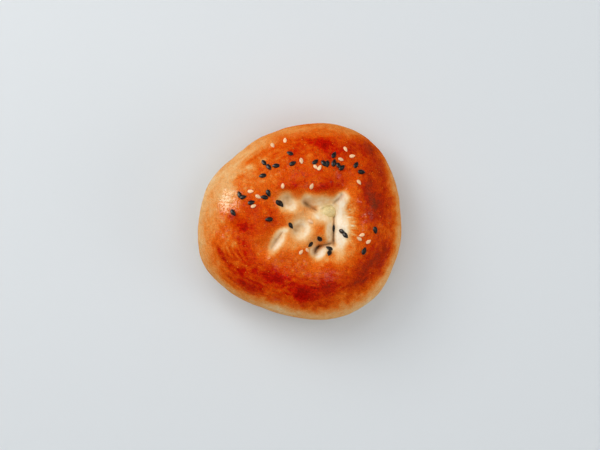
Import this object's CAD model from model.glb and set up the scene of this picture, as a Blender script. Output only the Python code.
"""Filled sesame bun: baked dough with a glazed crust, two kinds of sesame and its cheese filling.

Lengths in the tables are in millimetres, in the part's own frame: +Z up, the flat underside at zero.
"""

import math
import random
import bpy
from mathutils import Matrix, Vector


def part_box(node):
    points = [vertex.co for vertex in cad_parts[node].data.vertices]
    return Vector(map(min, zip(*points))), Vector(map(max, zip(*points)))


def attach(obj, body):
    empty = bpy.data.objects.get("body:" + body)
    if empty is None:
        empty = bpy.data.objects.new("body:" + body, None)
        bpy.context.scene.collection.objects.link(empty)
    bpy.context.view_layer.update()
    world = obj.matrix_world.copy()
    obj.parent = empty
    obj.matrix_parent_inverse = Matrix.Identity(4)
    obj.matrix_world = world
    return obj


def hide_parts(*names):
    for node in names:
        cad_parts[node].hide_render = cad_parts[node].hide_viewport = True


bl_info = {
    "name": "Filled Sesame Bun",
    "version": (1, 0, 0),
    "blender": (4, 5, 0),
    "location": "View3D > Sidebar > Bun",
    "description": "Models a round filled bun with a browned, glazed crust and sesame seeds",
    "category": "Mesh",
}

import bpy
import numpy as np
from bpy.props import FloatProperty, FloatVectorProperty, IntProperty, PointerProperty
from mathutils import Matrix, Vector, noise

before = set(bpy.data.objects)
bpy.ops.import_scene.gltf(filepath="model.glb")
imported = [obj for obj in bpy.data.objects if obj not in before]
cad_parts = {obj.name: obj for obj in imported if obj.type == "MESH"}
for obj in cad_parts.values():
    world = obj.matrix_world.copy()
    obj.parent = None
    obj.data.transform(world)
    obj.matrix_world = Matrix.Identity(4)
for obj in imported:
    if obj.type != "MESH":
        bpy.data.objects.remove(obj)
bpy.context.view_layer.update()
CHEESE_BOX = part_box("cheese_filling")

MM = 0.001

# Radius of the outline every 22.5 degrees, counter-clockwise from +X.
OUTLINE = (51.5, 52.5, 54.5, 53.5, 49.5, 47.5, 47.5, 50.5, 51.5, 53.5, 50.5, 47.5, 49.0, 52.5, 54.0, 52.5)
SHOULDER = 3.0          # how late the top falls away towards the outline
ROUND = 2.0             # how round the edge of the top is
MIDDLE = (7.5, -1.5)    # where the rings of the mesh start
LUMP_LENGTH = 17.0

# ---------------------------------------------------------------- pinched middle
CRESTS = ((3.5, -1.0, 31.0, 29.0), (3.5, -1.0, 38.0, 36.0))     # x, y, half widths: full height
RIM = (3.8, -1.5, 21.5, 19.2)   # rounded square inside which the dough sinks
RIM_DROP = 0.9
RIM_POINTS = 14
RIM_SQUARE = 0.7
# x, y and height against the crown, for each dent that fingers left and the ridges between them.
PRESSED = {
    "upper_left_hollow": ((-6.4, 11.4, -6.2), (-10.4, 10.0, -2.8), (-2.2, 7.4, -3.2), (-7.2, 5.6, -2.8)),
    "middle_hollow": ((-0.8, -2.4, -7.2), (1.7, -2.6, -6.8), (-0.8, -5.0, -6.4), (-3.4, -2.4, -5.8),
                      (4.9, -2.2, -4.2), (3.9, -6.0, -3.4), (0.2, -8.6, -2.8), (-5.8, -4.2, -2.8)),
    "lower_left_hollow": ((-12.0, -9.6, -4.8), (-9.2, -5.2, -3.6), (-15.2, -14.4, -3.0)),
    "ridges": ((1.0, 5.2, -3.4), (-1.4, 2.8, -3.6), (-11.0, -0.5, -2.0), (-6.4, -9.0, -1.6),
               (-10.2, -12.2, -1.6), (3.0, -12.0, -1.9), (3.6, -16.0, -2.4)),
    "tongue": ((10.0, -4.1, -3.6), (8.0, 3.0, -5.2), (8.2, -8.6, -4.2), (13.4, -7.6, -5.0)),
    "north_wall": ((-1.5, 15.4, -1.2), (5.4, 12.4, -3.4), (11.0, 12.8, -3.6), (17.0, 14.6, -3.2),
                   (10.0, 9.6, -6.4), (15.0, 10.8, -6.6)),
    "north_crease": ((2.6, 10.0, -6.4), (6.6, 6.9, -8.0), (20.6, 13.4, -4.6)),
    "pit": ((13.4, 5.8, -9.2), (14.4, 0.0, -7.2)),
    "east_crease": ((17.0, 3.0, -9.6), (16.9, -4.0, -9.2), (16.5, -10.4, -8.8)),
    "east_wall": ((20.8, 5.0, -4.2), (20.8, -3.0, -3.8), (21.0, -10.0, -3.6)),
    "south_crease": ((12.6, -11.2, -7.4), (8.6, -12.8, -9.2), (7.2, -16.4, -5.8)),
    "south_flap": ((12.4, -15.4, -3.6), (16.6, -15.2, -4.4)),
}
# Where two surfaces of dough meet: path, half width and depth of the crease.
CREASES = {
    "east": (((17.1, 8.0), (17.0, 3.0), (17.0, -3.0), (16.7, -8.5), (17.0, -13.2)), 1.5, 1.8),
    "north": (((1.2, 11.4), (2.8, 9.2), (5.2, 7.4), (7.6, 6.2), (9.6, 4.8)), 2.0, 1.8),
    "north_east": (((15.8, 8.8), (18.2, 10.4), (20.0, 12.4), (21.6, 14.8)), 1.8, 1.3),
    "south": (((17.0, -10.2), (13.4, -11.2), (9.8, -12.0), (7.8, -14.2), (7.2, -17.2)), 1.8, 2.0),
    "lower_left": (((-8.2, -4.6), (-11.8, -9.4), (-15.2, -14.6)), 1.6, 0.8),
}
# The dark line at the bottom of a crease, finer than the crease itself.
HAIRLINE = 0.65         # half width
HAIRLINE_DEPTH = {"east": 0.55, "north": 0.15, "north_east": 0.15, "south": 0.65, "lower_left": 0.35}

# ---------------------------------------------------------------- relief of the crust
RELIEF = ((0.16, 5.2, 9.0), (0.07, 2.1, 9.0), (0.03, 0.9, 9.0))     # height, length and seed of each noise
EAST_WALL = (21.5, -1.5, 4.0, 16.0, 0)      # x, y, half length, half width and turn
STREAK_HEIGHT = 0.10    # stretch marks across the east wall
STREAK_LENGTHS = (7.0, 0.9)
RELIEF_FADE = 0.15      # share of the outline over which the relief turns from upwards to outwards
SIDE_SWELL = (0.5, 14.0)        # height and length of the swellings of the side
BLISTERS = 95
BLISTER_RANDOM = 31
BLISTER_FIELD = (44.0, 42.0)    # half width and half depth of the part that blisters
BLISTER_SIZE = (0.45, 0.95)
BLISTER_HEIGHT = (0.10, 0.24)
BLISTER_LIMIT = 1.3     # no blisters where the dough sinks more than this

# ---------------------------------------------------------------- browning
# Every 22.5 degrees, counter-clockwise from +X: width of the pale band, how softly it ends, and its bake.
PALE_BAND = (3.5, 3.5, 3.0, 4.0, 5.0, 8.0, 12.0, 12.5, 12.0, 9.0, 7.0, 5.5, 5.5, 6.5, 7.0, 4.0)
PALE_SOFT = (5.0, 5.0, 5.0, 6.0, 7.0, 9.0, 13.0, 14.0, 11.0, 9.0, 7.0, 6.0, 6.0, 6.0, 6.0, 5.0)
SIDE_BAKE = (0.38, 0.40, 0.42, 0.42, 0.42, 0.37, 0.29, 0.26, 0.32, 0.37, 0.40, 0.38, 0.36, 0.32, 0.27, 0.33)
RIM_PALER = (0.12, 0.14, 0.05, 0.04, 0.12, 0.12, 0.14, 0.10)      # less bake at the rim, every 45 degrees
MID_BAKE = 0.60
# Strength, length and seed of the noises of the bake: over the crust, at the sides and in the fold.
MOTTLES = ((0.09, 6.0, 8.0), (0.07, 2.4, 2.0))
SIDE_MOTTLES = ((0.05, 9.0, 5.0),)
FOLD_MOTTLES = ((0.04, 4.0, 7.0), (0.05, 1.3, 3.0))
FOLD_BAKE = 0.085
BROWN = 0.15            # how brown the crust is outside the patches
BROWN_MOTTLES = ((0.2, 12.0, 1.0),)
PALER_FROM = (0.88, 0.11)       # share of the outline where the paler rim starts, and how softly
BROWNED_BASE = (0.34, 0.72, 0.2)        # how much more the underside is baked, from which turn, how softly
TUCK_PALER = (0.10, 0.5)        # how much less the dough below the waist is baked, and over which turn
BLISTER_PALER = 0.14
# x, y, half length, half width and turn of a patch, how much more it is baked and how brown it is.
PATCHES = (
    (11.0, 39.5, 6.0, 3.4, -15, 0.23, 0.0), (1.0, 41.0, 6.0, 3.0, 8, 0.05, 0.0),
    (-4.0, 36.0, 5.5, 4.0, 0, 0.16, 0.1), (-12.0, 35.0, 8.0, 4.5, 15, -0.22, 0.0),
    (17.0, 36.0, 6.5, 3.5, -10, 0.20, 0.1), (8.0, 43.0, 9.0, 1.8, 0, -0.10, 0.0),
    (35.0, 38.0, 6.2, 3.6, -52, 0.38, 1.0), (41.0, 30.0, 7.0, 2.6, -66, 0.14, 0.8),
    (39.0, 24.0, 5.0, 9.0, 14, 0.10, 0.7), (34.0, 19.0, 2.8, 6.5, 8, 0.16, 0.8),
    (36.5, 9.0, 5.6, 9.0, 0, 0.29, 0.9), (39.0, -5.0, 6.0, 4.0, 0, -0.08, 0.8),
    (37.0, -19.0, 6.0, 8.0, -28, 0.24, 0.8), (42.0, -14.0, 3.0, 4.0, 0, 0.14, 0.8),
    (27.0, -31.0, 9.0, 4.6, 22, 0.18, 0.8), (30.0, -23.0, 4.0, 4.0, 0, 0.14, 0.8),
    (30.0, -12.0, 4.0, 4.0, 0, -0.10, 0.5), (12.0, -34.5, 8.0, 4.6, 8, 0.20, 0.5),
    (21.0, -37.5, 7.5, 3.2, 18, -0.20, 0.6), (14.0, -23.0, 2.8, 5.0, 0, 0.18, 0.2),
    (1.0, -36.6, 5.0, 3.4, 0, 0.52, 0.0), (-5.0, -32.5, 18.0, 2.6, 0, 0.08, 0.1),
    (-8.0, -43.5, 13.0, 2.6, -8, -0.12, 0.4), (-11.0, -28.0, 9.0, 3.6, -12, 0.24, 0.1),
    (-15.0, -23.0, 7.0, 2.5, 8, 0.10, 0.1), (-8.0, -19.5, 5.0, 3.0, 0, -0.10, 0.2),
    (-26.0, -32.0, 8.0, 4.4, -28, 0.28, 0.3), (-29.0, -24.0, 5.0, 4.0, 0, 0.10, 0.0),
    (-38.6, -17.6, 6.5, 1.6, -57, 0.24, 0.4), (-36.0, -33.5, 8.0, 3.0, -40, -0.06, 0.6),
    (-27.5, -2.6, 4.6, 2.6, -20, 0.23, 0.1), (-26.5, -12.5, 9.0, 3.4, -65, 0.20, 0.1),
    (-36.5, -8.0, 3.0, 9.0, 8, -0.16, 0.3), (-32.5, 2.6, 3.0, 2.5, 0, 0.16, 0.7),
    (-15.0, 0.0, 6.0, 5.0, 0, 0.07, 0.6), (-18.5, -13.0, 4.0, 7.0, 0, -0.06, 0.5),
    (-24.0, 31.5, 9.0, 1.6, 30, 0.20, 0.0), (-14.0, 36.5, 6.0, 1.8, 26, 0.24, 0.0),
    (-29.0, 23.0, 3.4, 1.1, 30, 0.16, 0.0), (-21.0, 24.0, 11.0, 7.0, 0, -0.12, 0.1),
    (-34.0, 12.0, 5.5, 7.0, 0, -0.24, 0.2), (12.0, 16.0, 6.0, 3.0, 0, 0.33, 0.3),
    (-5.0, 17.5, 6.5, 2.6, 0, 0.12, 0.0), (15.0, 25.0, 11.0, 6.0, 0, 0.09, 0.4),
    (-5.0, 17.0, 5.0, 2.2, 0, 0.26, 0.1), (22.0, 19.0, 5.0, 4.0, 0, 0.08, 0.3),
    (-12.4, -28.4, 2.8, 1.8, 0, 0.06, 0.0), (14.5, -19.0, 3.0, 3.0, 0, 0.14, 0.2),
    (-24.5, 7.5, 3.5, 3.0, 0, 0.18, 0.3), (-5.0, -14.5, 6.0, 3.5, 20, 0.10, 0.1),
    (-11.0, 2.0, 4.5, 6.0, 0, 0.16, 0.3), (4.5, 32.5, 1.6, 4.0, 0, -0.14, 0.0),
    (13.0, 26.6, 3.0, 2.4, 0, -0.20, 0.1), (-21.0, -14.0, 2.4, 5.0, 15, -0.10, 0.3),
    (11.0, -25.0, 4.0, 3.0, 0, -0.10, 0.2), (31.0, -38.0, 5.0, 3.0, 30, 0.10, 0.8),
    (-21.0, 15.0, 5.0, 5.0, 0, -0.08, 0.1), (42.0, 8.0, 5.0, 11.0, 0, 0.05, 0.6),
    (14.0, -30.0, 3.0, 4.0, 0, 0.10, 0.4), (10.0, -41.0, 12.0, 1.6, 4, 0.05, 0.6),
    (-31.0, -8.0, 3.0, 11.0, 8, -0.03, 0.2), (-28.0, -18.0, 4.0, 6.0, 0, 0.06, 0.1),
    (-36.0, -24.0, 5.0, 1.6, -45, -0.10, 0.2), (-22.0, -38.5, 9.0, 2.6, -20, -0.10, 0.4),
    (3.0, 45.5, 16.0, 2.6, -4, -0.08, 0.1), (-30.0, 30.0, 12.0, 4.0, 45, -0.06, 0.2),
    (-16.0, 7.0, 3.5, 3.0, 0, 0.10, 0.2), (-37.0, -27.0, 6.0, 3.0, -42, 0.12, 0.3),
    (30.0, 17.0, 3.0, 3.0, 0, 0.10, 0.4), (30.0, 4.0, 2.4, 3.6, 0, 0.10, 0.4),
    (26.5, 9.0, 2.4, 3.6, 0, -0.05, 0.2), (5.0, 28.0, 3.0, 2.4, 0, -0.10, 0.1),
    (33.0, 9.0, 2.0, 4.0, 0, -0.10, 0.4), (27.0, 35.0, 6.0, 5.0, -40, 0.10, 0.5),
)
# Where the brush left marks in the egg wash: x, y, half length, half width, turn and how clear they are.
BRUSHED = (
    (-32.0, -16.0, 18.0, 9.0, -60, 0.28), (0.0, -33.0, 22.0, 7.0, 0, 0.20), (34.0, -6.0, 8.0, 24.0, 0, 0.14),
    (-8.0, 32.0, 24.0, 8.0, 12, 0.16),
)
# Dough that the pinch kept from baking: x, y, half length, half width, turn and how softly it ends.
PALE_DOUGH = (
    (-6.2, 9.9, 4.5, 4.7, 0, 1.1), (-3.4, 7.6, 2.6, 2.4, 0, 1.6), (9.8, 10.3, 9.4, 2.6, 3, 1.1),
    (19.6, 12.0, 4.0, 2.0, 48, 1.2), (3.4, 10.8, 3.4, 3.4, -20, 1.3), (11.2, 3.8, 6.4, 4.4, 0, 1.2),
    (14.0, 7.6, 4.6, 2.4, 12, 1.0), (14.9, -5.0, 2.4, 7.4, 0, 1.1), (19.6, -2.6, 3.7, 14.0, 0, 1.1),
    (21.6, 10.8, 2.6, 4.0, -25, 1.0), (22.0, -3.5, 2.6, 6.5, 0, 1.6), (0.3, -3.4, 5.4, 5.8, -10, 1.0),
    (-11.0, -9.5, 7.0, 3.0, 57, 1.0), (-9.0, -4.8, 3.4, 1.6, 25, 1.2), (6.9, -14.6, 2.6, 3.2, 0, 1.2),
    (10.8, -15.4, 4.4, 2.2, 51, 1.1), (14.6, -13.2, 3.4, 1.8, 0, 1.3),
)
STREAKS = 0.42          # how strongly the pale dough runs out in streaks
STREAK_BAKE = 0.30      # how much the bake varies from streak to streak
# Where the dough stretched: x, y, half length, half width, turn and how clear its streaks are.
STREAKED = (
    (24.6, -1.0, 4.4, 15.5, 0, 1.0), (12.0, -19.5, 7.0, 3.0, 0, 0.4), (-14.5, -13.0, 3.0, 3.0, 0, 0.3),
)
SMEARS = ((13.6, 6.4, 4.0, 2.0, 16, 0.95), (15.6, 3.4, 1.6, 2.4, 0, 0.6))    # melted cheese on the dough
# Lightly baked dough round the pinch: x, y, half length, half width, turn and bake.
HALF_BAKED = (
    (24.6, -1.0, 4.6, 16.5, 0, 0.245), (1.8, 4.2, 10.0, 5.6, 0, 0.21), (-2.5, -10.5, 9.0, 6.0, 20, 0.31),
    (7.8, -3.5, 6.5, 7.5, 0, 0.31), (12.0, -18.0, 9.0, 4.0, 0, 0.33), (-11.0, -9.0, 9.4, 5.0, 57, 0.30),
    (10.0, 13.4, 10.0, 2.2, 3, 0.36), (7.5, -10.0, 6.0, 3.4, 0, 0.24), (-6.2, 10.4, 8.0, 7.4, 0, 0.33),
    (20.0, -16.5, 5.0, 3.6, 0, 0.34), (9.8, -3.6, 2.6, 3.6, 0, 0.42),
)
# Spots in the fold that browned more or less than the rest: x, y, half length, half width, turn and bake.
TOASTED = (
    (-1.8, 13.8, 2.6, 1.8, -10, 0.44), (3.4, 4.6, 3.0, 2.2, 0, 0.07), (9.5, 10.6, 9.0, 3.0, 3, 0.05),
    (19.6, 0.0, 3.4, 15.0, 0, -0.08), (-3.2, 7.4, 2.4, 3.0, 0, -0.02), (4.0, -3.4, 1.6, 4.0, 0, -0.07),
    (-0.8, -8.6, 3.0, 1.4, 0, -0.05), (-10.4, -10.6, 6.0, 1.4, 57, -0.03),
    (10.6, -15.6, 4.0, 1.6, 51, -0.06), (9.0, 2.6, 1.2, 1.0, 0, -0.08),
    (20.6, 8.0, 2.4, 4.0, 0, -0.05), (21.0, -12.0, 2.4, 4.0, 0, -0.04),
)
# Hollows that stayed moist and look darker: x, y, half length, half width, turn and how dark.
MOIST = (
    (-6.8, 11.2, 3.6, 3.2, 0, 0.88), (9.0, 11.4, 9.5, 2.4, 3, 0.34), (3.0, 12.0, 3.0, 2.4, 0, 0.20),
    (-0.6, -2.6, 2.8, 2.8, 0, 0.80), (-2.8, -4.6, 1.8, 3.0, 0, 0.45), (-13.0, -9.4, 6.0, 1.8, 57, 0.45),
    (6.6, -14.8, 2.0, 3.0, 10, 0.34), (14.6, -5.6, 2.0, 5.4, 0, 0.25), (3.8, 8.4, 3.0, 1.6, -42, 0.75),
    (18.4, 10.8, 2.2, 0.8, 45, 0.35),
)
# Where the glaze lies thicker or thinner: x, y, half length, half width, turn and how much more it shines.
GLAZED = (
    (-36.5, 12.0, 6.8, 8.2, -15, 0.85), (-32.5, 1.0, 5.5, 5.0, 0, -0.60), (33.0, 9.0, 3.6, 9.0, 0, 0.90),
    (-4.0, 23.0, 10.0, 4.0, 0, 0.30), (-5.0, -20.0, 9.0, 5.0, 0, 0.70), (12.0, -27.0, 8.0, 4.0, 0, 0.75),
    (-22.0, 5.0, 6.0, 4.0, 0, 0.30),
)
GLAZE = 0.28            # how much the rest of the crust shines
GLAZE_MOTTLES = ((0.4, 5.0, 6.0),)
GLAZE_ENDS = 0.82       # share of the outline from which the glaze thins out
CREASE_SHADE = (1.9, 0.32)      # half width of the darker dough along a crease, and how dark
CREASE_LINE = 0.60      # half width of the dark line at the bottom of a crease
# How dark that line is, and the darkest places: x, y, half length, half width, turn and how dark.
CREASE_LINES = {"east": 0.12, "north": 0.08, "north_east": 0.10, "south": 0.32, "lower_left": 0.16}
DARKEST = (
    (8.9, -12.6, 1.7, 0.8, 30, 0.58), (16.8, -6.5, 0.55, 4.4, 0, 0.45), (7.9, -15.0, 0.7, 1.8, 15, 0.30),
    (3.2, 8.8, 1.6, 0.9, -42, 0.35), (7.2, 6.6, 1.4, 0.6, -35, 0.35), (18.2, 10.8, 1.2, 0.5, 45, 0.30),
)
# Raised edges of dough: path, half width and height.
LIPS = ((((9.2, 6.2), (11.2, 7.2), (13.2, 8.1), (15.2, 8.8), (17.0, 9.2)), 1.0, 0.55),)

# ---------------------------------------------------------------- sesame seeds
SEED_POINT = 0.50       # how much narrower than a plain oval the tip is, and how fast it narrows
SEED_POINT_POWER = 1.6
SEED_BLUNT = 0.12       # how much fuller than a plain oval the other end is
SEED_SUNK = 0.25        # of its thickness
# Each row of seeds as it fell: x and y of its middle, count, direction, spacing, turn and fan of turns.
SEED_ROWS = {
    "black": (
        (-5.0, 34.2, 1, 0, 0, 160, 0), (-16.7, 28.4, 2, -42, 3.2, -53, 0), (-12.0, 28.0, 1, 0, 0, 188, 0),
        (-3.6, 29.1, 1, 0, 0, 30, 0), (7.6, 29.9, 1, 0, 0, 40, 0), (12.8, 28.9, 2, -8, 1.6, -70, -40),
        (16.9, 31.4, 2, 90, 4.0, 68, -13), (20.1, 27.5, 2, -30, 1.8, -15, 110),
        (29.3, 26.7, 2, -52, 4.5, 30, -70), (-18.6, 23.0, 1, 0, 0, 195, 0),
        (-29.2, 13.0, 2, -34, 2.2, 62, -95), (-24.2, 9.7, 1, 0, 0, 22, 0),
        (-16.7, 13.3, 2, 45, 2.8, 231, 122), (-10.3, 9.2, 2, -17, 1.3, -57, -6),
        (-33.2, 4.6, 1, 0, 0, -50, 0), (-15.5, 1.3, 1, 0, 0, 185, 0), (-4.7, -1.8, 1, 0, 0, -62, 0),
        (7.4, -9.7, 2, 33, 5.5, 170, -90), (16.8, -3.1, 1, 0, 0, 93, 0),
        (22.0, -5.7, 2, -50, 2.3, -38, -24), (14.6, -13.3, 1, 0, 0, 152, 0), (14.6, -15.6, 1, 0, 0, 248, 0),
        (37.5, -4.1, 1, 0, 0, -80, 0), (31.9, -14.4, 1, 0, 0, 62, 0),
    ),
    "white": (
        (-10.6, 39.6, 2, 22, 6.7, 18, 150), (0.7, 30.3, 1, 0, 0, -80, 0),
        (24.4, 34.6, 2, -46, 4.8, -25, 74), (20.4, 31.2, 1, 0, 0, -18, 0),
        (8.7, 27.1, 2, -12, 2.0, 8, 112), (-1.4, 17.9, 2, -1, 14.4, 79, -22),
        (29.4, 19.8, 1, 0, 0, -52, 0), (-22.7, 13.9, 2, -35, 4.6, -14, -34), (-23.1, 7.9, 1, 0, 0, 25, 0),
        (5.3, 0.2, 1, 0, 0, -28, 0), (2.0, -14.5, 2, 16, 3.2, 3, -95),
        (30.1, -7.4, 2, -123, 2.2, 170, -60), (34.1, -9.8, 1, 0, 0, 42, 0),
    ),
}
SEED_SCATTER = 5.0      # degrees by which a seed may lie off its row's turn
SEED_GROWN = (0.92, 1.06)
SEED_TILT = (9.0, 6.0)  # degrees by which a seed may roll and pitch
FLATTER = 0.3           # how much flatter than the dough below it a seed lies
CHEESE_TURN = 16.0      # degrees about Z
RANDOM = 7

# ---------------------------------------------------------------- stage
SKY_COLOUR = (0.93, 0.96, 1.0)
MIRRORED_COLOUR = (1.0, 0.92, 0.82)     # of the lights that only the glaze mirrors
LIT_POINT = (0.0, 0.0, 0.02)            # in metres
CAMERA_SHIFT = -0.0015  # metres along Y
SENSOR_WIDTH = 36.0     # millimetres
# Azimuth, elevation, distance and size of each big light. The glaze mirrors only the window.
LIGHTS = {"window": (163.0, 33.0, 1.1, (0.46, 0.70)), "day": (135.0, 38.0, 1.2, (0.8, 0.6)),
          "side": (345.0, 24.0, 1.2, (0.6, 0.4))}
PANELS = 5              # soft lights in a ring above the bun
PANEL_PLACE = (58.0, 1.3, (0.5, 0.5))   # elevation, distance and size
PANEL_TURN = 20.0       # degrees, of the first one
PANEL_SHARE = 0.35      # how much more light the panels at +Y give, and how much less those at -Y
CARD_PLACE = (1.2, (0.32, 0.32))        # distance and size
# Cards that only the glaze mirrors: azimuth, elevation and power.
CARDS = ((100.0, 69.0, 0.45), (12.0, 53.0, 1.9), (256.0, 73.0, 0.5), (294.0, 59.0, 0.65), (194.0, 76.0, 0.3))


# ---------------------------------------------------------------- shape of the dough
def smooth_step(t):
    t = np.clip(t, 0.0, 1.0)
    return t * t * (3.0 - 2.0 * t)


def through(a, b, c, d, f):
    """Value between b and c, at share f, of the smooth curve through four values."""
    return b + 0.5 * f * (c - a + f * (2 * a - 5 * b + 4 * c - d + f * (3 * (b - c) + d - a)))


def by_direction(values, angle):
    """A value given at even steps round the bun, in any direction."""
    values = np.array(values)
    place = np.mod(angle / (2.0 * math.pi), 1.0) * len(values)
    first = np.floor(place).astype(int)
    return through(*(values[(first + k) % len(values)] for k in (-1, 0, 1, 2)), place - first)


def smooth_path(path, steps=6):
    """The path with more points, rounded through its given ones."""
    points = np.array(path)
    points = np.vstack([2 * points[0] - points[1], points, 2 * points[-1] - points[-2]])
    found = [through(*points[i - 1:i + 3], k / steps)
             for i in range(1, len(points) - 2) for k in range(steps)]
    return np.array(found + [points[-2]])


def groove(x, y, path, width, depth, power=1.5):
    """Drop towards a crease that fades out at both ends."""
    points = smooth_path(path)
    steps = np.diff(points, axis=0)
    lengths = np.hypot(steps[:, 0], steps[:, 1])
    starts = np.concatenate([[0.0], np.cumsum(lengths)])
    nearest = np.full(np.shape(x), 1e9)
    share = np.zeros(np.shape(x))
    for point, step, length, start in zip(points, steps, lengths, starts):
        way = np.clip(((x - point[0]) * step[0] + (y - point[1]) * step[1]) / length, 0.0, length)
        distance = np.hypot(x - point[0] - way * step[0] / length, y - point[1] - way * step[1] / length)
        share = np.where(distance < nearest, (start + way) / starts[-1], share)
        nearest = np.minimum(distance, nearest)
    ends = smooth_step(share / 0.2) * smooth_step((1.0 - share) / 0.2)
    return depth * ends * np.clip(1.0 - nearest / width, 0.0, 1.0) ** power


def spot(x, y, middle_x, middle_y, half_x, half_y, turn):
    """One in the middle of a turned oval, falling off softly round it."""
    cos, sin = math.cos(math.radians(turn)), math.sin(math.radians(turn))
    along = ((x - middle_x) * cos + (y - middle_y) * sin) / half_x
    across = ((y - middle_y) * cos - (x - middle_x) * sin) / half_y
    return np.exp(-(along ** 2 + across ** 2))


def spots(x, y, table):
    """Sum of soft ovals, each followed in the table by its strength."""
    return sum(strength * spot(x, y, *place) for *place, strength in table)


def loop_points(middle_x, middle_y, half_x, half_y, count, drop, square=1.0):
    """Points on a closed loop, all at one drop below the crown."""
    for k in range(count):
        angle = 2.0 * math.pi * (k + 0.5) / count
        across, along = math.cos(angle), math.sin(angle)
        yield (middle_x + half_x * math.copysign(abs(across) ** square, across),
               middle_y + half_y * math.copysign(abs(along) ** square, along), -drop)


def springy_sheet(points):
    """Function of x and y for the smoothest sheet through all the points."""
    points = np.array(points)
    count = len(points)

    def bend(distance_squared):
        return distance_squared * np.log(distance_squared + 1e-12)

    between = (points[:, None, :2] - points[None, :, :2]) ** 2
    flat = np.column_stack([np.ones(count), points[:, :2]])
    system = np.block([[bend(between.sum(axis=2)), flat], [flat.T, np.zeros((3, 3))]])
    weights = np.linalg.solve(system, np.concatenate([points[:, 2], np.zeros(3)]))

    def height(x, y):
        total = weights[count] + weights[count + 1] * x + weights[count + 2] * y
        for (px, py, _), weight in zip(points, weights):
            total = total + weight * bend((x - px) ** 2 + (y - py) ** 2)
        return total

    return height


def pinched_points():
    points = [point for dent in PRESSED.values() for point in dent]
    points += loop_points(*RIM, RIM_POINTS, RIM_DROP, RIM_SQUARE)
    for crest in CRESTS:
        points += loop_points(*crest, 14, 0.0)
    return points


SHEET = springy_sheet(pinched_points())


def grain(x, y, z, length, seed=0.0):
    """Smooth noise at many places, about one feature per length."""
    places = np.column_stack([np.ravel(x), np.ravel(y), np.ravel(z)]) / length + seed
    return np.array([noise.noise(place) for place in places.tolist()])


def noises(x, y, z, table):
    """Sum of smooth noises, each given by its strength, length and seed."""
    return sum(strength * grain(x, y, z, length, seed) for strength, length, seed in table)


def share_of_outline(x, y):
    return np.hypot(x, y) / by_direction(OUTLINE, np.arctan2(y, x))


def sunk_depth(x, y):
    """How far the pinched middle lies below the crown, without its creases."""
    middle_x, middle_y, half_x, half_y = CRESTS[0]
    reach = np.hypot((x - middle_x) / half_x, (y - middle_y) / half_y)
    return -SHEET(x, y) * (1.0 - smooth_step((reach - 0.95) / 0.2))


def top_height(x, y, dough):
    """Height of the risen dough above places, in mm, without its fine relief."""
    x, y = np.atleast_1d(x).astype(float), np.atleast_1d(y).astype(float)
    height, waist, lumps = dough.height / MM, dough.waist / MM, dough.lumps / MM
    share = share_of_outline(x, y)
    dome = waist + (height - waist) * np.clip(1.0 - share ** SHOULDER, 0.0, 1.0) ** (1.0 / ROUND)
    creased = sum(groove(x, y, path, width, depth) for path, width, depth in CREASES.values())
    swell = lumps * grain(x, y, 0.0 * x, LUMP_LENGTH) * np.clip(1.0 - share, 0.0, 0.2) / 0.2
    return dome - sunk_depth(x, y) - creased + swell


def surface_frame(x, y, turn, dough, step=0.6):
    """Axes of something that lies on the dough: along its turn as seen from above, across it, and out."""
    height = top_height([x + step, x - step, x, x], [y, y, y + step, y - step], dough)
    up = Vector((height[1] - height[0], height[3] - height[2], 2 * step)).normalized()
    up = (up + Vector((0.0, 0.0, FLATTER))).normalized()
    along = Vector((math.cos(turn), math.sin(turn), 0.0))
    along.z = -along.dot(up) / up.z
    along.normalize()
    return Matrix((along, up.cross(along), up)).transposed()


# ---------------------------------------------------------------- modelling helpers
def start_alone():
    if bpy.context.object and bpy.context.object.mode != "OBJECT":
        bpy.ops.object.mode_set(mode="OBJECT")
    bpy.ops.object.select_all(action="DESELECT")


def add_sphere(name, segments, rings, radius=1.0):
    start_alone()
    bpy.ops.mesh.primitive_uv_sphere_add(segments=segments, ring_count=rings, radius=radius)
    piece = bpy.context.object
    piece.name = piece.data.name = name
    return piece


def read_places(mesh):
    places = np.empty(len(mesh.vertices) * 3)
    mesh.vertices.foreach_get("co", places)
    return places.reshape(-1, 3)


def write_places(mesh, places):
    mesh.vertices.foreach_set("co", np.ravel(places))
    mesh.update()


def write_value(mesh, name, values):
    layer = mesh.attributes.new(name, "FLOAT", "POINT")
    layer.data.foreach_set("value", np.ravel(values).astype(np.float32))


def finish_piece(piece, material, slot, *nodes):
    piece.data.materials.clear()
    piece.data.materials.append(material)
    start_alone()
    piece.select_set(True)
    bpy.context.view_layer.objects.active = piece
    bpy.ops.object.shade_smooth()
    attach(piece, "root")
    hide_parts(*nodes)


# ---------------------------------------------------------------- material helpers
class Nodes:
    """A node tree under construction: its nodes are placed and joined by short calls."""

    def __init__(self, tree):
        self.tree = tree
        self.place = self.add("ShaderNodeTexCoord").outputs["Object"]

    def add(self, kind, **settings):
        made = self.tree.nodes.new(kind)
        for name, value in settings.items():
            setattr(made, name, value)
        return made

    def feed(self, socket, value):
        if isinstance(value, bpy.types.NodeSocket):
            self.tree.links.new(value, socket)
        else:
            socket.default_value = value

    def calculate(self, operation, first, second, clamp=False):
        made = self.add("ShaderNodeMath", operation=operation, use_clamp=clamp)
        self.feed(made.inputs[0], first)
        self.feed(made.inputs[1], second)
        return made.outputs[0]

    def plus(self, first, second, clamp=False):
        return self.calculate("ADD", first, second, clamp)

    def minus(self, first, second, clamp=False):
        return self.calculate("SUBTRACT", first, second, clamp)

    def times(self, *values, clamp=False):
        """Product of two or more values, of which only the last step is clamped."""
        product = values[0]
        for value in values[1:-1]:
            product = self.calculate("MULTIPLY", product, value)
        return self.calculate("MULTIPLY", product, values[-1], clamp)

    def times_plus(self, value, factor, addend):
        return self.plus(self.times(value, factor), addend)


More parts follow.
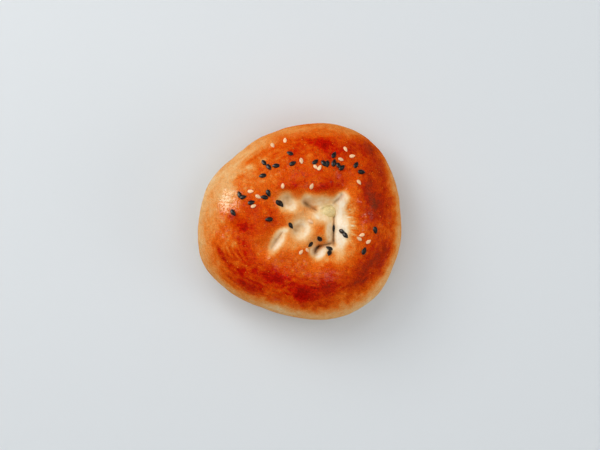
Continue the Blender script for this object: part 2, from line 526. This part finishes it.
class Finish(Nodes):
    """A material with its shader, fed by noises, ramps and the mesh's own values."""

    def __init__(self, name):
        self.material = bpy.data.materials.new(name)
        self.material.use_nodes = True
        super().__init__(self.material.node_tree)
        self.shader = self.tree.nodes["Principled BSDF"]

    def noise(self, size, detail=2.0, roughness=0.5, stretch=(1.0, 1.0, 1.0), shift=(0.0, 0.0, 0.0)):
        """Noise with features of about this size in mm."""
        moved = self.add("ShaderNodeMapping")
        self.feed(moved.inputs["Vector"], self.place)
        moved.inputs["Scale"].default_value = stretch
        moved.inputs["Location"].default_value = shift
        made = self.add("ShaderNodeTexNoise")
        self.feed(made.inputs["Vector"], moved.outputs[0])
        made.inputs["Scale"].default_value = 1.0 / (size * MM)
        made.inputs["Detail"].default_value = detail
        made.inputs["Roughness"].default_value = roughness
        return made.outputs["Fac"]

    def wobble(self, *settings, **more):
        """Noise that goes as far below zero as above it."""
        return self.minus(self.noise(*settings, **more), 0.5)

    def value(self, name):
        return self.add("ShaderNodeAttribute", attribute_name=name).outputs["Fac"]

    def ramp(self, factor, stops):
        made = self.add("ShaderNodeValToRGB")
        self.feed(made.inputs["Fac"], factor)
        elements = made.color_ramp.elements
        while len(elements) < len(stops):
            elements.new(0.5)
        for element, (place, colour) in zip(elements, stops):
            element.position = place
            element.color = (*colour, 1.0)
        return made.outputs["Color"]

    def mix(self, factor, first, second):
        made = self.add("ShaderNodeMix", data_type="RGBA")
        self.feed(made.inputs["Factor"], factor)
        self.feed(made.inputs[6], first)
        self.feed(made.inputs[7], second)
        return made.outputs[2]

    def specks(self, spacing, size):
        """Small scattered dots, one for each spacing in mm, of a size given as a share of it."""
        made = self.add("ShaderNodeTexVoronoi")
        self.feed(made.inputs["Vector"], self.place)
        made.inputs["Scale"].default_value = 1.0 / (spacing * MM)
        inside = self.minus(size, made.outputs["Distance"])
        return self.times(inside, 2.5 / size, clamp=True)

    def scale(self, colour, factor):
        made = self.add("ShaderNodeVectorMath", operation="SCALE")
        self.feed(made.inputs["Vector"], colour)
        self.feed(made.inputs["Scale"], factor)
        return made.outputs["Vector"]

    def bump(self, height, distance):
        made = self.add("ShaderNodeBump")
        made.inputs["Strength"].default_value = 1.0
        made.inputs["Distance"].default_value = distance
        self.feed(made.inputs["Height"], height)
        self.feed_shader("Normal", made.outputs["Normal"])

    def feed_shader(self, name, value):
        self.feed(self.shader.inputs[name], value)

    def group(self, tree, **values):
        made = self.add("ShaderNodeGroup", node_tree=tree)
        for name, value in values.items():
            self.feed(made.inputs[name.replace("_", " ").title()], value)
        return made

    def constants(self, **values):
        for name, value in values.items():
            self.shader.inputs[name.replace("_", " ").title().replace("Ior", "IOR")].default_value = value


def pitted_group():
    """Fine pits and coarser lumps of a baked or pressed surface, as one height."""
    tree = bpy.data.node_groups.get("pitted")
    if tree:
        return tree
    tree = bpy.data.node_groups.new("pitted", "ShaderNodeTree")
    for name, default in (("Pit Size", 0.5), ("Lump Size", 1.5), ("Pit Depth", 0.5), ("Lump Height", 0.5)):
        socket = tree.interface.new_socket(name, in_out="INPUT", socket_type="NodeSocketFloat")
        socket.default_value = default
    tree.interface.new_socket("Height", in_out="OUTPUT", socket_type="NodeSocketFloat")
    nodes = Nodes(tree)
    inside = nodes.add("NodeGroupInput").outputs
    heights = []
    for size, depth, detail in (("Pit Size", "Pit Depth", 2.0), ("Lump Size", "Lump Height", 3.0)):
        made = nodes.add("ShaderNodeTexNoise")
        made.inputs["Detail"].default_value = detail
        nodes.feed(made.inputs["Vector"], nodes.place)
        nodes.feed(made.inputs["Scale"], nodes.calculate("DIVIDE", 1.0 / MM, inside[size]))
        heights.append(nodes.times(made.outputs["Fac"], inside[depth]))
    nodes.feed(nodes.add("NodeGroupOutput").inputs["Height"], nodes.plus(*heights))
    return tree


# ---------------------------------------------------------------- settings
def colour_setting(name, description, default):
    return FloatVectorProperty(name=name, description=description, default=default, size=3,
                               subtype="COLOR", min=0.0, max=1.0)


def length_setting(name, description, default):
    return FloatProperty(name=name, description=description, default=default, unit="LENGTH")


def lengths_setting(name, description, default):
    return FloatVectorProperty(name=name, description=description, default=default, size=3, unit="LENGTH")


def power_setting(name, description, default):
    return FloatProperty(name=name, description=description, default=default, min=0.0, unit="POWER")


class DoughSettings(bpy.types.PropertyGroup):
    height: length_setting("Height", "Underside to crown", 0.041)
    waist: length_setting("Waist", "Height of the widest outline", 0.015)
    base_share: FloatProperty(name="Flat Underside", description="Its edge, as a share of the outline",
                              default=0.80, min=0.1, max=1.0, subtype="FACTOR")
    lumps: length_setting("Lumps", "Unevenness of the risen dough", 0.00045)
    segments: IntProperty(name="Segments", description="Faces round the bun", default=380, min=48)
    crown_rows: IntProperty(name="Crown Rows", description="Rings over the middle of the top", default=120)
    flank_rows: IntProperty(name="Flank Rows", description="Rings down to the waist", default=66)
    tuck_rows: IntProperty(name="Tuck Rows", description="Rings from the waist to the underside", default=44)
    base_rows: IntProperty(name="Base Rows", description="Rings of the underside", default=16)


class CrustSettings(bpy.types.PropertyGroup):
    cream: colour_setting("Cream", "Dough that hardly baked", (0.96, 0.86, 0.68))
    butter: colour_setting("Butter", "Soft dough of the fold", (0.92, 0.70, 0.43))
    pale: colour_setting("Pale", "First colour at the sides", (0.86, 0.455, 0.17))
    gold: colour_setting("Gold", "Lightly baked crust", (0.84, 0.275, 0.050))
    amber: colour_setting("Amber", "Crust under the glaze", (0.79, 0.135, 0.007))
    orange: colour_setting("Orange", "Well glazed crust", (0.72, 0.072, 0.0015))
    red: colour_setting("Red", "Well baked crust", (0.57, 0.0065, 0.0006))
    deep_red: colour_setting("Deep Red", "Darkest glazed spots", (0.33, 0.0025, 0.0003))
    brown: colour_setting("Brown", "Well baked crust at the flanks", (0.38, 0.031, 0.003))
    deep_brown: colour_setting("Deep Brown", "Darkest flank", (0.17, 0.036, 0.012))
    moist: colour_setting("Moist Dough", "Dough in the hollows", (0.53, 0.30, 0.125))
    smear: colour_setting("Smear", "Melted cheese on the dough", (0.74, 0.58, 0.25))
    crevice: colour_setting("Crevice", "Bottom of a crease", (0.15, 0.055, 0.018))
    grain: FloatProperty(name="Grain", description="Light and dark grains of the crust", default=1.3, min=0.0,
                         max=2.0, subtype="FACTOR")
    glaze: FloatProperty(name="Glaze", description="Shine of the egg wash", default=0.75, min=0.0, max=1.0,
                         subtype="FACTOR")


class SeedSettings(bpy.types.PropertyGroup):
    black_size: lengths_setting("Black Seed", "Length, width and thickness", (0.00385, 0.0023, 0.0013))
    white_size: lengths_setting("White Seed", "Length, width and thickness", (0.0030, 0.0018, 0.00105))
    black: colour_setting("Black", "Hull of a black seed", (0.008, 0.007, 0.007))
    white: colour_setting("White", "Toasted white seed", (1.00, 0.60, 0.31))


class CheeseSettings(bpy.types.PropertyGroup):
    middle: lengths_setting("Middle", "Middle of the lump", tuple((CHEESE_BOX[0] + CHEESE_BOX[1]) / 2))
    half: lengths_setting("Half Size", "Half lengths of the lump", (0.0062, 0.0042, 0.0048))
    colour: colour_setting("Cheese", "Melted cheese", (0.84, 0.66, 0.30))


class StageSettings(bpy.types.PropertyGroup):
    floor: colour_setting("Floor", "Plain floor", (0.70, 0.73, 0.745))
    sky: FloatProperty(name="Sky", description="Even light from all round", default=0.43, min=0.0)
    day: power_setting("Day", "Soft light from the upper left", 6.0)
    window: power_setting("Window", "Window that the glaze mirrors", 12.4)
    side: power_setting("Side", "Weak light from the right", 2.0)
    panel: power_setting("Panels", "Each of the soft panels above", 1.2)
    camera_height: length_setting("Camera Height", "Camera above the floor", 1.0)
    view_width: length_setting("View Width", "Width seen at the waist", 0.306)


# ---------------------------------------------------------------- dough
def row_shares(dough):
    """For each row of the mesh: share of the outline, and height below the waist in turns of the tuck."""
    crown = 0.5 * np.linspace(0.0, 1.0, dough.crown_rows + 1)
    flank = 1.0 - 0.5 * (1.0 - np.linspace(0.0, 1.0, dough.flank_rows + 1)[1:]) ** 2
    turns = 0.5 * math.pi * np.linspace(0.0, 1.0, dough.tuck_rows + 1)[1:]
    tuck = dough.base_share + (1.0 - dough.base_share) * np.cos(turns)
    base = dough.base_share * (1.0 - np.linspace(0.0, 1.0, dough.base_rows + 1)[1:])
    shares = np.concatenate([crown, flank, tuck, base])
    falls = np.concatenate([0.0 * crown, 0.0 * flank, turns, 0.0 * base + 0.5 * math.pi])
    return shares, falls


def blister_places():
    """Places, sizes and heights of the small blisters of the glazed crust."""
    draw = random.Random(BLISTER_RANDOM)
    found = []
    while len(found) < BLISTERS:
        angle, reach = draw.uniform(0.0, 2.0 * math.pi), math.sqrt(draw.random())
        x, y = BLISTER_FIELD[0] * reach * math.cos(angle), BLISTER_FIELD[1] * reach * math.sin(angle)
        size, height = draw.uniform(*BLISTER_SIZE), draw.uniform(*BLISTER_HEIGHT)
        if sunk_depth(np.float64(x), np.float64(y)) < BLISTER_LIMIT:
            found.append((x, y, size, height))
    return found


def soft_oval(x, y, middle_x, middle_y, half_x, half_y, turn, soft):
    """One inside a turned oval, zero outside, with a soft edge."""
    reach = np.sqrt(-np.log(np.maximum(spot(x, y, middle_x, middle_y, half_x, half_y, turn), 1e-30)))
    return smooth_step((1.0 - reach) / soft + 0.5)


def pinch_streaks(x, y):
    """Fine stretch marks that run away from the middle of the pinch."""
    angle, reach = np.arctan2(y - MIDDLE[1], x - MIDDLE[0]), np.hypot(x - MIDDLE[0], y - MIDDLE[1])
    long = grain(19.0 * angle, reach / 4.0, 0.0 * x, 1.0, 3.0)
    short = grain(x / 3.2, y / 0.9, 0.0 * x, 1.0, 7.0)
    return 1.5 * (long + 0.35 * short) * spots(x, y, STREAKED)


def pale_dough(x, y, streaks):
    """How much of the dough stayed pale in the pinch."""
    baked = 1.0
    for *oval, soft in PALE_DOUGH:
        baked = baked * (1.0 - soft_oval(x, y, *oval, soft))
    pale = 1.0 - baked
    return np.clip(pale + 4.0 * STREAKS * streaks * pale * (1.0 - pale), 0.0, 1.0)


def risen_bake(x, y, z, share, angle):
    """How baked the bun is from its sides to its middle, with its mottles and its brush marks."""
    inwards = (1.0 - share) * by_direction(OUTLINE, angle)
    ragged = grain(24.0 * angle, inwards / 4.0, 0.0 * x, 1.5) + 0.7 * grain(x, y, z, 6.0, 3.0)
    band = by_direction(PALE_BAND, angle) + 1.8 * ragged
    inside = smooth_step((inwards - band) / by_direction(PALE_SOFT, angle) + 0.5)
    side = by_direction(SIDE_BAKE, angle) + noises(x, y, z, SIDE_MOTTLES)
    bake = side + (MID_BAKE - side) * inside + noises(x, y, z, MOTTLES) * (0.2 + 0.8 * inside)
    return bake + spots(x, y, BRUSHED) * grain(8.0 * angle, inwards / 1.2, 0.0 * x, 1.0, 11.0)


def browning(x, y, z, share, below, blisters):
    """How baked the crust is, how brown rather than red, how much of it stayed pale, and how it shines."""
    angle = np.arctan2(y, x)
    bake = risen_bake(x, y, z, share, angle)
    brown = BROWN + noises(x, y, z, BROWN_MOTTLES)
    less, tuck_soft = TUCK_PALER
    tucked = smooth_step(below / tuck_soft)
    for *place, more, how_brown in PATCHES:
        weight = spot(x, y, *place) * (1.0 - tucked)
        bake = bake + more * weight
        brown = brown * (1.0 - weight) + how_brown * weight
    streaks = pinch_streaks(x, y)
    full = 1.0
    for *place, half_bake in HALF_BAKED:
        weight = spot(x, y, *place) * (below <= 0.0)
        bake = bake + (half_bake - bake) * weight
        full = full * (1.0 - weight)
    bake = bake + STREAK_BAKE * streaks * (1.0 - full)
    pale = pale_dough(x, y, streaks) * (below <= 0.0)
    fold = FOLD_BAKE + noises(x, y, z, FOLD_MOTTLES) + spots(x, y, TOASTED)
    bake = bake + (fold - bake) * pale - BLISTER_PALER * blisters

    rim, rim_soft = PALER_FROM
    bake = bake - by_direction(RIM_PALER, angle) * smooth_step((share - rim) / rim_soft)
    more, base, base_soft = BROWNED_BASE
    bake = bake - less * tucked + more * smooth_step((below - base) / base_soft)
    glaze = GLAZE + noises(x, y, z, GLAZE_MOTTLES) + spots(x, y, GLAZED)
    glaze = glaze * (1.0 - pale) * (0.4 + 0.6 * full) * (1.0 - 0.8 * smooth_step((share - GLAZE_ENDS) / 0.15))
    return tuple(np.clip(values, 0.0, 1.0) for values in (bake, brown, pale, glaze))


def moist_dough(x, y, z):
    """How dark the dough is in its hollows and along its creases."""
    width, dark = CREASE_SHADE
    creased = sum(groove(x, y, path, width, dark, 1.3) for path, _, _ in CREASES.values())
    return spots(x, y, MOIST) * (1.0 + 0.5 * grain(x, y, z, 2.0, 4.0)) + creased


def dough_looks(x, y, z, share, below, blisters):
    """By the name of its attribute, each value that the crust's material reads."""
    looks = dict(zip(("bake", "brown", "fold", "glaze"), browning(x, y, z, share, below, blisters)))
    looks["moist"] = moist_dough(x, y, z)
    lines = sum(groove(x, y, CREASES[name][0], CREASE_LINE, dark, 0.8) for name, dark in CREASE_LINES.items())
    looks["crevice"] = lines + spots(x, y, DARKEST)
    looks["cheesy"] = spots(x, y, SMEARS) * (1.0 + grain(x, y, z, 2.0, 1.0))
    for name in ("moist", "crevice", "cheesy"):
        looks[name] = np.clip(looks[name], 0.0, 1.0) * (below <= 0.0)
    return looks


def fine_relief(x, y, z, on_top):
    """Height of the unevenness, stretch marks and blisters, and how much of a blister each place is."""
    relief = noises(x, y, z, RELIEF)
    long, short = STREAK_LENGTHS
    relief = relief + STREAK_HEIGHT * spot(x, y, *EAST_WALL) * grain(x / long, y / short, 0.0 * z, 1.0, 2.0)
    blisters = 0.0 * x
    for middle_x, middle_y, size, height in blister_places():
        bump = spot(x, y, middle_x, middle_y, size, size, 0) * on_top
        blisters = np.maximum(blisters, bump)
        relief = relief + height * bump
    return relief, blisters


def hairline_depth(x, y):
    """Depth of the fine lines in the creases, less the height of the raised edges."""
    depths = -sum(groove(x, y, path, width, height) for path, width, height in LIPS)
    for name, depth in HAIRLINE_DEPTH.items():
        depths = depths + groove(x, y, CREASES[name][0], HAIRLINE, depth, 1.0)
    return depths


def bake_dough(context):
    """A sphere laid row by row over the bun, with its relief and its browning."""
    dough = context.scene.bun_dough
    shares, falls = row_shares(dough)
    rows = len(shares) - 1
    piece = add_sphere("baked_dough", dough.segments, rows)
    places = read_places(piece.data)
    angle = np.arctan2(places[:, 1], places[:, 0])
    row = np.rint(np.arccos(np.clip(places[:, 2], -1.0, 1.0)) / math.pi * rows).astype(int)
    share, fall = shares[row], falls[row]
    edge = by_direction(OUTLINE, angle)
    on_top = row <= dough.crown_rows + dough.flank_rows
    x = (1.0 - share) * MIDDLE[0] * on_top + share * edge * np.cos(angle)
    y = (1.0 - share) * MIDDLE[1] * on_top + share * edge * np.sin(angle)
    z = dough.waist / MM * (1.0 - np.sin(fall))
    real_share = np.where(on_top, np.minimum(share_of_outline(x, y), 1.0), 1.0)
    z[on_top] = top_height(x[on_top], y[on_top], dough)

    relief, blisters = fine_relief(x, y, z, on_top)
    upwards = smooth_step((1.0 - share) / RELIEF_FADE)
    z = np.where(on_top, z + relief * upwards - hairline_depth(x, y), z)
    swell, swell_length = SIDE_SWELL
    on_side = (1.0 - upwards) * (fall < 0.5 * math.pi) * np.cos(fall)
    outward = 1.0 + on_side * (relief + swell * grain(x, y, z, swell_length, 4.0)) / edge
    x, y = x * outward, y * outward
    write_places(piece.data, np.column_stack([x, y, z]) * MM)

    on_base = row > rows - dough.base_rows
    below = np.where(on_top, 0.0, fall / (0.5 * math.pi) + (dough.base_share - share) * on_base)
    for name, values in dough_looks(x, y, z, real_share, below, blisters).items():
        write_value(piece.data, name, values)
    finish_piece(piece, crust_finish(context.scene.bun_crust), "crust", "bread_bun")
    return piece


def crust_ramps(finish, tone, crust):
    """The reddish and the brownish way from pale dough to the darkest crust."""
    light = ((0.0, crust.cream), (0.08, crust.butter), (0.18, crust.pale), (0.31, crust.gold))
    light = light + ((0.45, crust.amber),)
    between = tuple(0.6 * a + 0.4 * b for a, b in zip(crust.orange, crust.brown))
    reddish = finish.ramp(tone, light + ((0.60, crust.orange), (0.80, crust.red), (1.0, crust.deep_red)))
    brownish = finish.ramp(tone, light + ((0.58, between), (0.78, crust.brown), (1.0, crust.deep_brown)))
    return reddish, brownish


def crust_finish(crust):
    finish = Finish("glazed_crust")
    bake, fold = finish.value("bake"), finish.value("fold")
    unfolded = finish.minus(1.0, finish.times(fold, 0.75))
    pits = finish.group(pitted_group(), pit_size=0.7, lump_size=1.9, pit_depth=0.9, lump_height=1.1)
    fine = finish.minus(1.0, pits.outputs["Height"])
    browned = finish.times(finish.minus(bake, 0.45), 4.0, clamp=True)
    specks = finish.times(finish.specks(3.2, 0.13), browned)

    coarse = finish.wobble(3.4, 3.0, 0.55, shift=(0.1, 0.2, 0.3))
    mottle = finish.plus(finish.times(fine, 0.25), finish.times(coarse, 0.32))
    mottle = finish.times(mottle, unfolded, finish.times_plus(bake, 1.3, 0.2))
    tone = finish.minus(finish.plus(bake, mottle), finish.times(specks, 0.34, unfolded), clamp=True)
    colour = finish.mix(finish.value("brown"), *crust_ramps(finish, tone, crust))
    wet = finish.times(finish.value("moist"), finish.times_plus(fold, 0.85, 0.15))
    cheesy, crevice = finish.value("cheesy"), finish.value("crevice")
    for share, cover in ((wet, crust.moist), (cheesy, crust.smear), (crevice, crust.crevice)):
        colour = finish.mix(share, colour, (*cover, 1.0))
    grains = finish.wobble(0.55, 3.0, 0.65, shift=(0.3, 0.1, 0.2))
    grains = finish.times(grains, crust.grain, finish.plus(bake, 0.35), unfolded)
    finish.feed_shader("Base Color", finish.scale(colour, finish.plus(grains, 1.0)))

    beads = finish.wobble(1.15, 3.0, 0.6, shift=(0.4, 0.0, 0.1))
    beads = finish.plus(finish.times(beads, 6.5), 0.55, clamp=True)
    finish.feed_shader("Coat Weight", finish.times(finish.value("glaze"), crust.glaze, beads, clamp=True))
    finish.feed_shader("Roughness", finish.times_plus(fold, 0.30, 0.42))
    finish.constants(coat_roughness=0.17, coat_ior=1.5, specular_ior_level=0.0)
    finish.bump(finish.times(finish.minus(finish.times(specks, 0.8), fine), unfolded), 0.0008)
    return finish.material


# ---------------------------------------------------------------- seeds
def seeds_as_fallen(context):
    """For each kind, the place, axes and growth of every seed, drawn in one order."""
    draw = random.Random(RANDOM)
    dough = context.scene.bun_dough
    sizes = {"black": context.scene.bun_seeds.black_size, "white": context.scene.bun_seeds.white_size}
    fallen = {}
    for kind, rows in SEED_ROWS.items():
        fallen[kind] = []
        for x, y, count, direction, spacing, turn, fan in rows:
            for k in range(count):
                way = k - 0.5 * (count - 1)
                seed_x = x + way * spacing * math.cos(math.radians(direction))
                seed_y = y + way * spacing * math.sin(math.radians(direction))
                lie = math.radians(turn + way * fan + draw.uniform(-SEED_SCATTER, SEED_SCATTER))
                grown = draw.uniform(*SEED_GROWN)
                axes = surface_frame(seed_x, seed_y, lie, dough)
                ground = float(top_height(seed_x, seed_y, dough)[0])
                lift = sizes[kind][2] / MM * grown * (0.5 - SEED_SUNK)
                place = (Vector((seed_x, seed_y, ground)) + axes.col[2] * lift) * MM
                fallen[kind].append((place, axes, grown))
    return fallen


def seed_width(ahead):
    """How wide a seed is, against a plain oval, at a share of its length ahead of its middle."""
    reach = 2.0 * abs(ahead)
    return 1.0 - SEED_POINT * reach ** SEED_POINT_POWER if ahead > 0.0 else 1.0 + SEED_BLUNT * reach


def shape_seed(name, size):
    """One seed along X: a flattened drop with a blunt back, a pointed tip and a faint rim."""
    seed = add_sphere(name, 18, 14, 0.5)
    bpy.ops.object.mode_set(mode="EDIT")
    heights = sorted({round(vert.co.z, 4) for vert in seed.data.vertices})
    for height in heights[1:-1]:
        bpy.ops.mesh.select_all(action="DESELECT")
        bpy.ops.object.mode_set(mode="OBJECT")
        for vert in seed.data.vertices:
            vert.select = abs(vert.co.z - height) < 1e-3
        bpy.ops.object.mode_set(mode="EDIT")
        narrow = seed_width(height)
        bpy.ops.transform.resize(value=(narrow * (1.0 - 0.10 * abs(height)), narrow, 1.0))
    bpy.ops.object.mode_set(mode="OBJECT")
    places = read_places(seed.data)
    length, width, thickness = size
    edge = np.abs(places[:, 1]) * 2.0
    flatter = 1.0 - 0.16 * smooth_step((edge - 0.45) / 0.4) * (edge < 0.92)
    write_places(seed.data, np.column_stack([places[:, 2] * length, places[:, 1] * width,
                                             -places[:, 0] * thickness * flatter]))
    return seed


def sprinkle(context, kind, name, size, material):
    """Copies one seed to every place of its kind and joins the copies."""
    first = shape_seed(name, size)
    draw = random.Random(RANDOM + len(kind) + ord(kind[0]))
    copies = []
    for place, axes, grown in seeds_as_fallen(context)[kind]:
        copy = first.copy()
        copy.data = first.data.copy()
        context.scene.collection.objects.link(copy)
        tilt = Matrix.Identity(3)
        for axis, most in zip("XY", SEED_TILT):
            tilt = tilt @ Matrix.Rotation(math.radians(draw.uniform(-most, most)), 3, axis)
        copy.data.transform(Matrix.Translation(place) @ (axes @ tilt * grown).to_4x4())
        shade = draw.random()
        write_value(copy.data, "shade", [shade] * len(copy.data.vertices))
        copies.append(copy)
    bpy.data.objects.remove(first)
    start_alone()
    for copy in copies:
        copy.select_set(True)
    bpy.context.view_layer.objects.active = copies[0]
    bpy.ops.object.join()
    piece = bpy.context.object
    piece.name = piece.data.name = name
    finish_piece(piece, material, kind + "_sesame", "bread_bun")
    return piece


def seed_finish(name, colour, darker, coat):
    finish = Finish(name)
    speckle = finish.noise(0.5, 3.0, 0.6)
    tone = finish.times_plus(speckle, 0.5, finish.times(finish.value("shade"), 0.6))
    dark = tuple(darker * part for part in colour)
    finish.feed_shader("Base Color", finish.ramp(tone, ((0.2, dark), (0.7, tuple(colour)))))
    finish.feed_shader("Roughness", finish.times_plus(speckle, 0.2, 0.3))
    finish.constants(coat_weight=coat, coat_roughness=0.25)
    pits = finish.group(pitted_group(), pit_size=0.16, lump_size=0.5, pit_depth=0.4, lump_height=0.6)
    finish.bump(pits.outputs["Height"], 0.00005)
    return finish.material


# ---------------------------------------------------------------- cheese
def melt_cheese(context):
    """The lump of filling whose top shows in the deepest part of the fold."""
    cheese = context.scene.bun_cheese
    piece = add_sphere("cheese_curd", 120, 80)
    way = read_places(piece.data)
    way /= np.linalg.norm(way, axis=1)[:, None]
    bulge = 0.35 * grain(way[:, 0], way[:, 1], way[:, 2], 1.0 / 2.3)
    crumbly = 0.16 * grain(*(way * 5.0).T, 1.2, 5.0) + 0.07 * grain(*(way * 5.0).T, 0.45, 2.0)
    places = way * (np.array(cheese.half) / MM + (bulge + crumbly)[:, None])
    turn = np.array(Matrix.Rotation(math.radians(CHEESE_TURN), 3, "Z"))
    places = places @ turn.T + np.array(cheese.middle) / MM
    write_places(piece.data, places * MM)
    finish_piece(piece, cheese_finish(cheese.colour), "cheese", "cheese_filling")
    return piece


def cheese_finish(colour):
    finish = Finish("soft_cheese")
    clots = finish.noise(1.1, 3.0, 0.6)
    dark = tuple(0.78 * part for part in colour)
    finish.feed_shader("Base Color", finish.ramp(clots, ((0.3, dark), (0.65, tuple(colour)))))
    finish.feed_shader("Roughness", finish.times_plus(clots, 0.3, 0.3))
    pits = finish.group(pitted_group(), pit_size=0.3, lump_size=1.0, pit_depth=0.5, lump_height=0.8)
    finish.bump(pits.outputs["Height"], 0.00012)
    return finish.material


# ---------------------------------------------------------------- stage
def aim(thing, target):
    thing.rotation_euler = (Vector(target) - thing.location).to_track_quat("-Z", "Y").to_euler()


def add_light(name, azimuth, elevation, distance, size, power, only_mirrored=False):
    """A soft light that either only lights or is only mirrored by the glaze."""
    start_alone()
    a, e = math.radians(azimuth), math.radians(elevation)
    place = Vector((math.cos(a) * math.cos(e), math.sin(a) * math.cos(e), math.sin(e))) * distance
    bpy.ops.object.light_add(type="AREA", location=place)
    light = bpy.context.object
    light.name = light.data.name = name
    light.data.shape = "RECTANGLE"
    light.data.size, light.data.size_y = size
    light.data.energy = power
    light.visible_glossy, light.visible_diffuse = only_mirrored, not only_mirrored
    light.data.color = MIRRORED_COLOUR if only_mirrored else (1.0, 1.0, 1.0)
    aim(light, LIT_POINT)


def lay_floor(colour):
    start_alone()
    bpy.ops.mesh.primitive_plane_add(size=3.0, location=(0.0, 0.0, 0.0))
    floor = bpy.context.object
    floor.name = floor.data.name = "floor"
    finish = Finish("plain_floor")
    finish.feed_shader("Base Color", (*colour, 1.0))
    finish.constants(roughness=0.6)
    floor.data.materials.append(finish.material)


def light_room(context, stage):
    world = bpy.data.worlds.new("soft_room")
    context.scene.world = world
    world.use_nodes = True
    background = world.node_tree.nodes["Background"]
    background.inputs["Color"].default_value = (*SKY_COLOUR, 1.0)
    background.inputs["Strength"].default_value = stage.sky
    world.cycles_visibility.glossy = False
    for name, place in LIGHTS.items():
        add_light(name, *place, getattr(stage, name), only_mirrored=name == "window")
    for number in range(PANELS):
        azimuth = PANEL_TURN + 360.0 * number / PANELS
        power = stage.panel * (1.0 + PANEL_SHARE * math.sin(math.radians(azimuth)))
        add_light(f"panel_{number}", azimuth, *PANEL_PLACE, power)
    for number, (azimuth, elevation, power) in enumerate(CARDS):
        add_light(f"card_{number}", azimuth, elevation, *CARD_PLACE, power, only_mirrored=True)


def set_stage(context):
    stage = context.scene.bun_stage
    lay_floor(stage.floor)
    light_room(context, stage)
    context.scene.view_settings.view_transform = "Standard"
    distance = stage.camera_height - context.scene.bun_dough.waist
    bpy.ops.object.camera_add(location=(0.0, CAMERA_SHIFT, stage.camera_height), rotation=(0.0, 0.0, 0.0))
    camera = context.object
    camera.data.sensor_width = SENSOR_WIDTH
    camera.data.lens = SENSOR_WIDTH * distance / stage.view_width
    context.scene.camera = camera


# ---------------------------------------------------------------- add-on
class BUN_OT_dough(bpy.types.Operator):
    """Model the baked dough with its pinched middle and glazed crust"""
    bl_idname = "bun.dough"
    bl_label = "Bake Dough"

    def execute(self, context):
        bake_dough(context)
        return {"FINISHED"}


class BUN_OT_black_sesame(bpy.types.Operator):
    """Sprinkle the black sesame seeds"""
    bl_idname = "bun.black_sesame"
    bl_label = "Black Sesame"

    def execute(self, context):
        seeds = context.scene.bun_seeds
        sprinkle(context, "black", "black_sesame_seeds", seeds.black_size,
                 seed_finish("black_hull", seeds.black, 0.6, 0.10))
        return {"FINISHED"}


class BUN_OT_white_sesame(bpy.types.Operator):
    """Sprinkle the white sesame seeds"""
    bl_idname = "bun.white_sesame"
    bl_label = "White Sesame"

    def execute(self, context):
        seeds = context.scene.bun_seeds
        sprinkle(context, "white", "white_sesame_seeds", seeds.white_size,
                 seed_finish("toasted_seed", seeds.white, 0.76, 0.1))
        return {"FINISHED"}


class BUN_OT_cheese(bpy.types.Operator):
    """Model the cheese that shows in the fold"""
    bl_idname = "bun.cheese"
    bl_label = "Melt Cheese"

    def execute(self, context):
        melt_cheese(context)
        return {"FINISHED"}


class BUN_OT_stage(bpy.types.Operator):
    """Set up the floor, the soft lights and the camera"""
    bl_idname = "bun.stage"
    bl_label = "Set Stage"

    def execute(self, context):
        set_stage(context)
        return {"FINISHED"}


class BUN_PT_panel(bpy.types.Panel):
    """Settings and steps of the bun"""
    bl_idname = "BUN_PT_panel"
    bl_label = "Filled Sesame Bun"
    bl_space_type = "VIEW_3D"
    bl_region_type = "UI"
    bl_category = "Bun"

    def draw(self, context):
        for name in SETTINGS:
            box = self.layout.box()
            settings = getattr(context.scene, name)
            for prop in settings.bl_rna.properties:
                if prop.identifier not in {"rna_type", "name"}:
                    box.prop(settings, prop.identifier)
        for step in STEPS:
            self.layout.operator(step.bl_idname)


SETTINGS = {"bun_dough": DoughSettings, "bun_crust": CrustSettings, "bun_seeds": SeedSettings,
            "bun_cheese": CheeseSettings, "bun_stage": StageSettings}
STEPS = (BUN_OT_dough, BUN_OT_black_sesame, BUN_OT_white_sesame, BUN_OT_cheese, BUN_OT_stage)


def register():
    for made in (*SETTINGS.values(), *STEPS, BUN_PT_panel):
        bpy.utils.register_class(made)
    for name, made in SETTINGS.items():
        setattr(bpy.types.Scene, name, PointerProperty(type=made))


def unregister():
    for name in SETTINGS:
        delattr(bpy.types.Scene, name)
    for made in (BUN_PT_panel, *reversed(STEPS), *reversed(SETTINGS.values())):
        bpy.utils.unregister_class(made)


def main():
    register()
    bpy.ops.bun.dough()
    bpy.ops.bun.black_sesame()
    bpy.ops.bun.white_sesame()
    bpy.ops.bun.cheese()
    bpy.ops.bun.stage()


if __name__ == "__main__":
    main()
